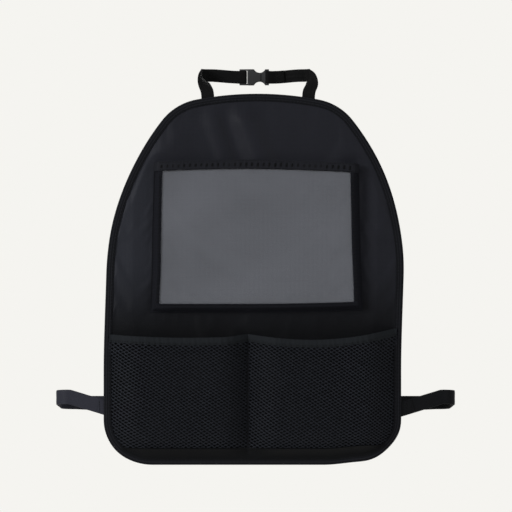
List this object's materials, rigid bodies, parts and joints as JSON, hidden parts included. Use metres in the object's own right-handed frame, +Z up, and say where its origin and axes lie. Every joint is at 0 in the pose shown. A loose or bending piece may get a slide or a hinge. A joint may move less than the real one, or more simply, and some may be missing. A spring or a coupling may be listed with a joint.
{
  "type": "car seat back organizer",
  "caption": "Round-shouldered cloth panel for the back of a car seat, with a clear tablet pocket, net pockets, a buckled headrest strap and an elastic seat strap.",
  "frame": {"origin": "the middle of the panel's back face, half way up the panel", "axes": "+X to the right of someone who faces the pockets, +Y from the pockets into the seat, +Z up"},
  "size_m": [0.47, 0.1375, 0.4652],
  "materials": {
    "panel_cloth": "woven polyester, matt",
    "binding_tape": "woven binding tape, matt",
    "clear_film": "soft clear vinyl, slightly hazy",
    "hook_and_loop": "hook-and-loop tape",
    "net": "knitted net",
    "elastic": "ribbed elastic tape",
    "webbing": "flat woven webbing",
    "buckle_plastic": "fine-grained moulding"
  },
  "bodies": {
    "root": {"back_panel": "panel_cloth", "edge_binding": "binding_tape", "window_film": "clear_film", "window_tape": "binding_tape", "mouth_tape": "binding_tape", "closure_hook_strip": "hook_and_loop", "closure_loop_strip": "hook_and_loop", "left_pocket_net": "net", "right_pocket_net": "net", "left_pocket_elastic": "elastic", "right_pocket_elastic": "elastic", "pocket_bottom_band": "panel_cloth", "left_head_strap": "webbing", "right_head_strap": "webbing", "buckle_socket": "buckle_plastic", "buckle_plug": "buckle_plastic", "seat_strap": "elastic"}
  },
  "joints": []
}
